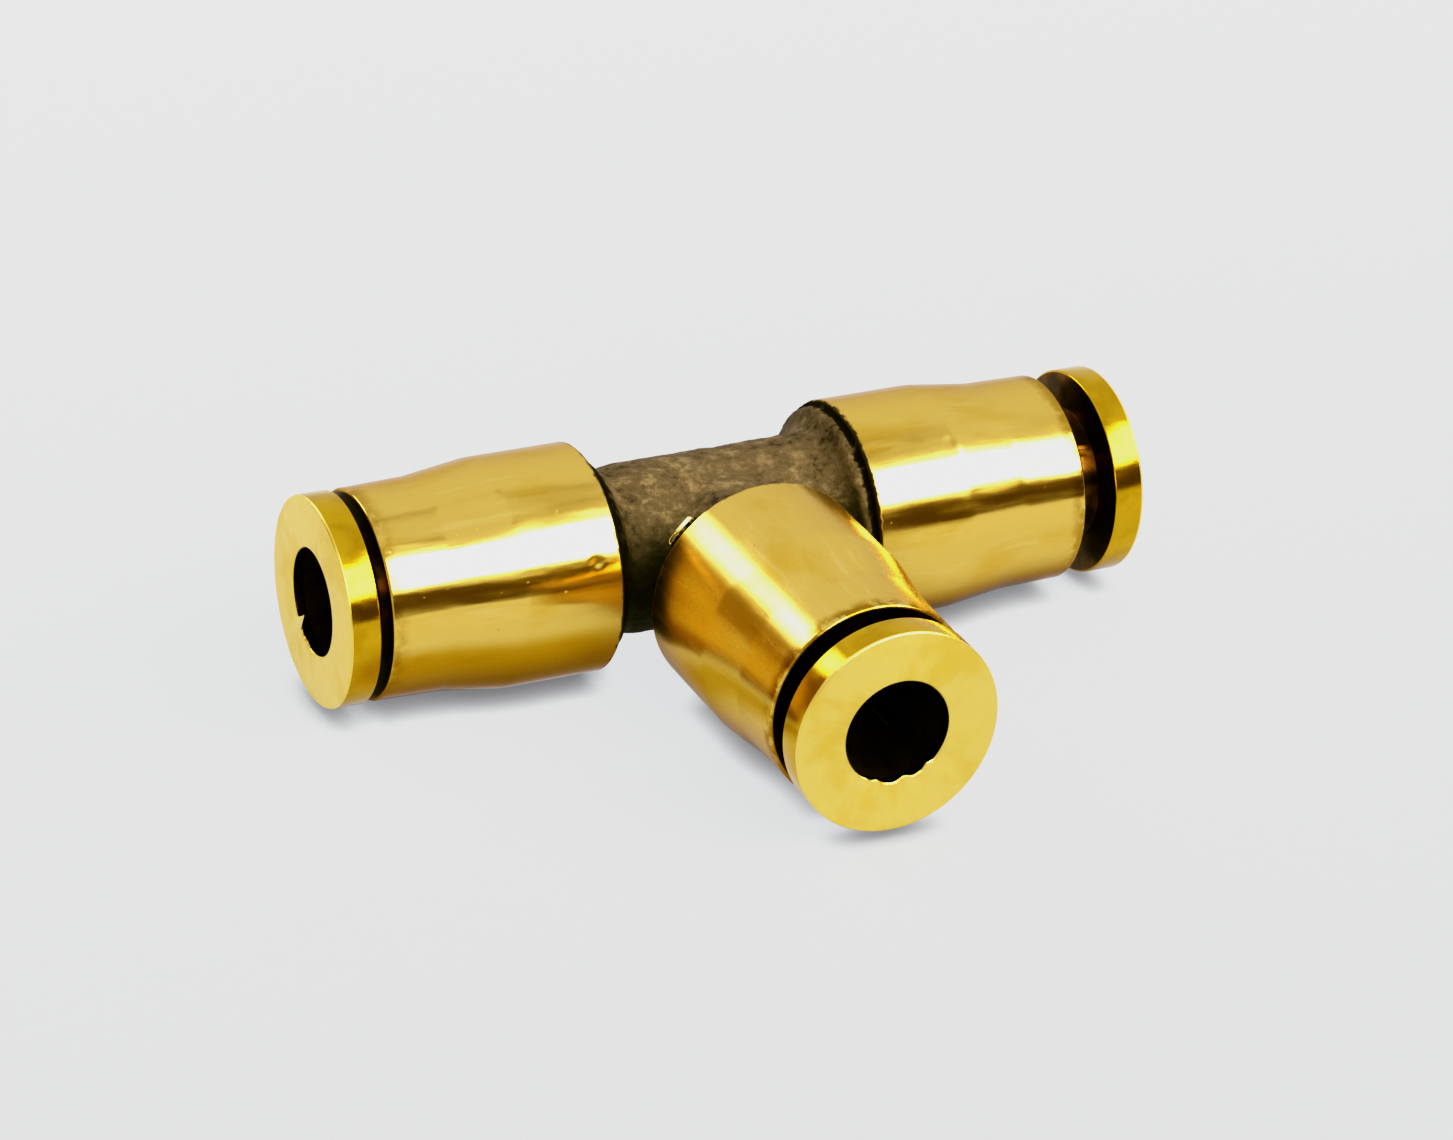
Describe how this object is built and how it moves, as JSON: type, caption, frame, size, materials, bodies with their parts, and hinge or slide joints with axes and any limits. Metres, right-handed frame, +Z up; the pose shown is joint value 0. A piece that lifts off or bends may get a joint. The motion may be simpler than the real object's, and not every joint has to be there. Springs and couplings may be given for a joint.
{
  "type": "push to connect union tee",
  "caption": "Brass push to connect tee: a forged body whose round ports each grip a tube with a sliding flanged collet over an O-ring seal.",
  "frame": {"origin": "where the axes of the three ports meet, inside the forged neck", "axes": "+X along the run towards the right port, -Y along the branch port, +Z up and square to the plane of the port axes"},
  "size_m": [0.0531, 0.0337, 0.0142],
  "materials": {
    "body_brass": "turned and polished ports, neck as forged",
    "collet_brass": "fine turned",
    "turned_brass": "turned",
    "nitrile": "matte"
  },
  "bodies": {
    "fitting": {"tee_body": "body_brass", "left_tube_support": "turned_brass", "left_o_ring": "nitrile", "left_seal_washer": "turned_brass", "left_cam_ring": "turned_brass", "right_tube_support": "turned_brass", "right_o_ring": "nitrile", "right_seal_washer": "turned_brass", "right_cam_ring": "turned_brass", "branch_tube_support": "turned_brass", "branch_o_ring": "nitrile", "branch_seal_washer": "turned_brass", "branch_cam_ring": "turned_brass"},
    "left_collet": {"left_collet": "collet_brass"},
    "right_collet": {"right_collet": "collet_brass"},
    "branch_collet": {"branch_collet": "collet_brass"}
  },
  "joints": [
    {"name": "left_collet_slide", "type": "slide", "parent": "fitting", "child": "left_collet", "axis": [-1, 0, 0], "range_m": [-0.00074, 0.0014]},
    {"name": "right_collet_slide", "type": "slide", "parent": "fitting", "child": "right_collet", "axis": [1, 0, 0], "range_m": [-0.00207, 0.00007]},
    {"name": "branch_collet_slide", "type": "slide", "parent": "fitting", "child": "branch_collet", "axis": [0, -1, 0], "range_m": [-0.00159, 0.00055]}
  ]
}
